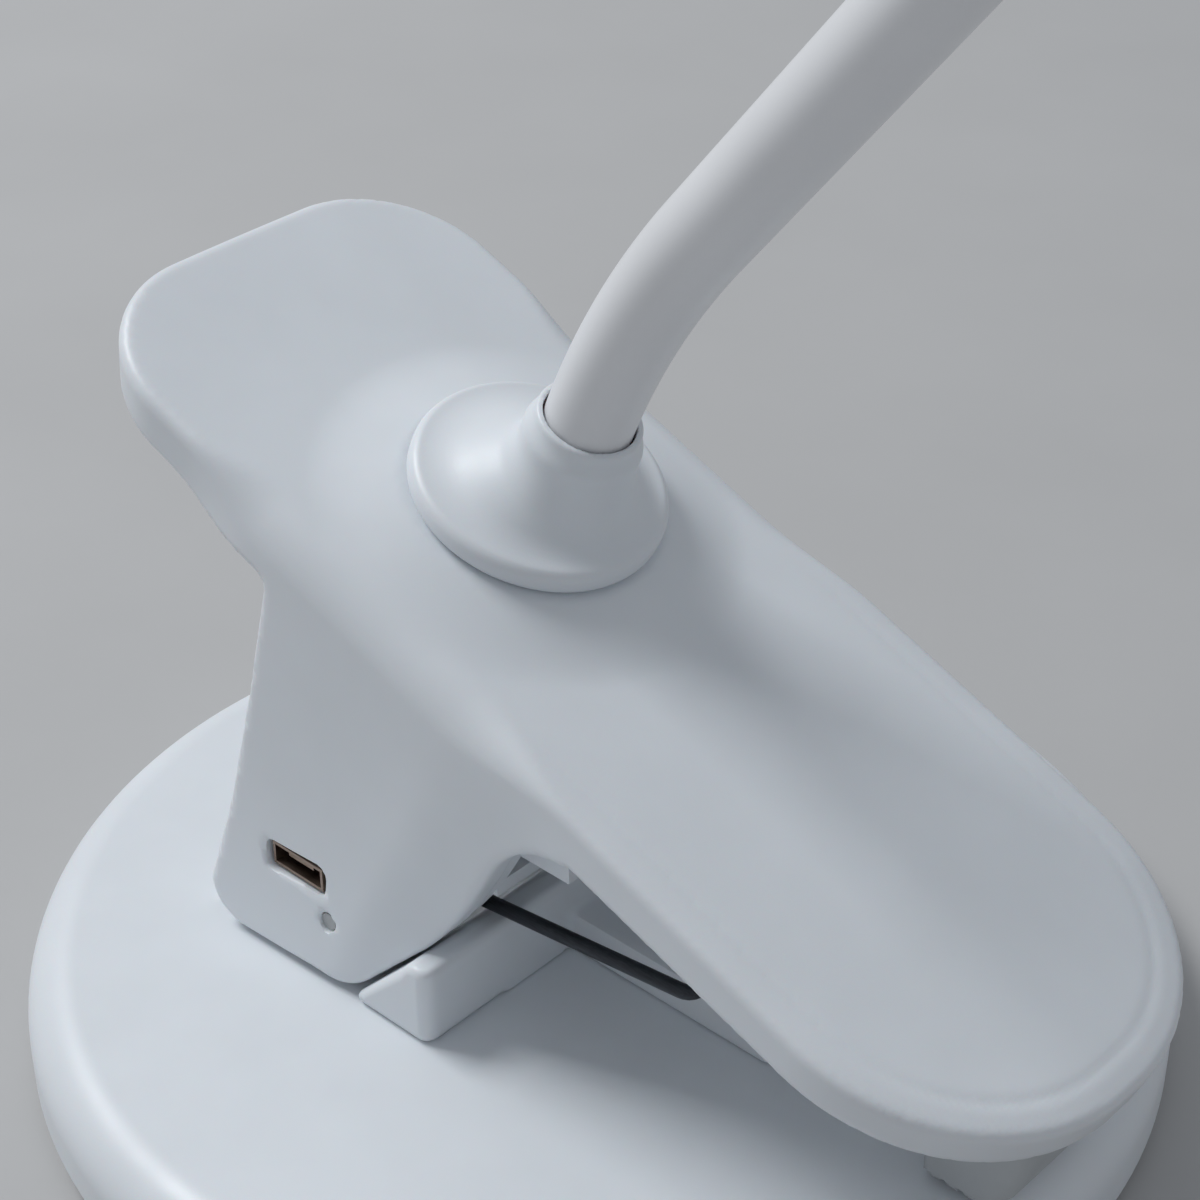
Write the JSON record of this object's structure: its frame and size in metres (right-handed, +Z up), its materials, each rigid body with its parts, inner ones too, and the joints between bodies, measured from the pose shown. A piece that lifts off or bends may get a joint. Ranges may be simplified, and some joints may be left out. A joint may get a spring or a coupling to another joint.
{
  "type": "clip on reading lamp",
  "caption": "Clip-on reading lamp: round weighted base and sprung arm form a clamp; a turning hub on the arm carries a flexible neck and a flat LED head.",
  "frame": {"origin": "centre of the round base's underside, on the surface it stands on", "axes": "+Z up, +X from the hinge towards the tip of the jaw, +Y to the side away from the charging socket"},
  "size_m": [0.3848, 0.125, 0.2275],
  "materials": {
    "shell_white": "fine satin texture",
    "neck_sleeve": "smooth silky sleeve",
    "soft_rubber": "matt",
    "ballast_steel": "plain steel",
    "spring_steel": "dark oiled spring steel",
    "screw_steel": "zinc plated",
    "cell_foil": "pouch foil",
    "circuit_board": "solder mask",
    "led_board_white": "white solder mask",
    "socket_metal": "dull plated",
    "light_pipe": "clear moulded",
    "diffuser_opal": "opal",
    "key_grey": "smooth"
  },
  "bodies": {
    "base": {"base_top_shell": "shell_white", "base_bottom_cover": "shell_white", "foot_pad": "soft_rubber", "ballast_plate": "ballast_steel", "base_screw_1": "screw_steel", "base_screw_2": "screw_steel", "base_screw_3": "screw_steel", "base_screw_4": "screw_steel", "hinge_pedestal": "shell_white", "pedestal_screw_1": "screw_steel", "pedestal_screw_2": "screw_steel", "torsion_spring": "spring_steel"},
    "arm": {"arm_top_shell": "shell_white", "arm_lower_shell": "shell_white", "arm_screw_1": "screw_steel", "arm_screw_2": "screw_steel", "arm_screw_3": "screw_steel", "arm_screw_4": "screw_steel", "jaw_pad": "soft_rubber", "battery_cell": "cell_foil", "charge_board": "circuit_board", "usb_socket": "socket_metal", "indicator_light_pipe": "light_pipe", "hinge_pin": "ballast_steel", "hub_friction_washer": "soft_rubber"},
    "hub": {"swivel_hub": "shell_white", "hub_lock_ring": "ballast_steel", "neck_ferrule_lower": "neck_sleeve"},
    "neck_1": {"gooseneck_1": "neck_sleeve"},
    "neck_2": {"gooseneck_2": "neck_sleeve"},
    "neck_3": {"gooseneck_3": "neck_sleeve"},
    "neck_4": {"gooseneck_4": "neck_sleeve"},
    "neck_5": {"gooseneck_5": "neck_sleeve"},
    "neck_6": {"gooseneck_6": "neck_sleeve"},
    "neck_7": {"gooseneck_7": "neck_sleeve"},
    "head": {"neck_ferrule_upper": "neck_sleeve", "neck_collar_upper": "shell_white", "head_top_shell": "shell_white", "head_bottom_frame": "shell_white", "diffuser": "diffuser_opal", "led_board": "led_board_white", "touch_key": "key_grey", "touch_board": "circuit_board", "head_screw_1": "screw_steel", "head_screw_2": "screw_steel", "head_screw_3": "screw_steel", "head_screw_4": "screw_steel"}
  },
  "joints": [
    {"name": "clamp_hinge", "type": "hinge", "parent": "base", "child": "arm", "pos_m": [-0.024, 0, 0.025], "axis": [0, -1, 0], "range_deg": [0, 22], "stiffness_Nm_per_rad": 1, "springref_deg": -34.38, "deforming": ["torsion_spring"]},
    {"name": "hub_swivel", "type": "hinge", "parent": "arm", "child": "hub", "pos_m": [-0.00974, 0, 0.05962], "axis": [0.373, 0, 0.9278], "range_deg": [-170, 170]},
    {"name": "neck_bend_1", "type": "hinge", "parent": "hub", "child": "neck_1", "pos_m": [0.00491, 0, 0.08611], "axis": [0, 1, 0], "range_deg": [-25, 25]},
    {"name": "neck_bend_2", "type": "hinge", "parent": "neck_1", "child": "neck_2", "pos_m": [0.02454, 0, 0.11242], "axis": [0.7826, 0, -0.6225], "range_deg": [-25, 25]},
    {"name": "neck_bend_3", "type": "hinge", "parent": "neck_2", "child": "neck_3", "pos_m": [0.045, 0, 0.13814], "axis": [0, 1, 0], "range_deg": [-25, 25]},
    {"name": "neck_bend_4", "type": "hinge", "parent": "neck_3", "child": "neck_4", "pos_m": [0.06545, 0, 0.16385], "axis": [0.7826, 0, -0.6225], "range_deg": [-25, 25]},
    {"name": "neck_bend_5", "type": "hinge", "parent": "neck_4", "child": "neck_5", "pos_m": [0.08611, 0, 0.18939], "axis": [0, 1, 0], "range_deg": [-25, 25]},
    {"name": "neck_bend_6", "type": "hinge", "parent": "neck_5", "child": "neck_6", "pos_m": [0.11179, 0, 0.20966], "axis": [0.4875, 0, -0.8731], "range_deg": [-25, 25]},
    {"name": "neck_bend_7", "type": "hinge", "parent": "neck_6", "child": "neck_7", "pos_m": [0.14253, 0, 0.22089], "axis": [0, 1, 0], "range_deg": [-25, 25]},
    {"name": "neck_bend_8", "type": "hinge", "parent": "neck_7", "child": "head", "pos_m": [0.17523, 0, 0.22195], "axis": [-0.1261, 0, -0.992], "range_deg": [-25, 25]}
  ]
}
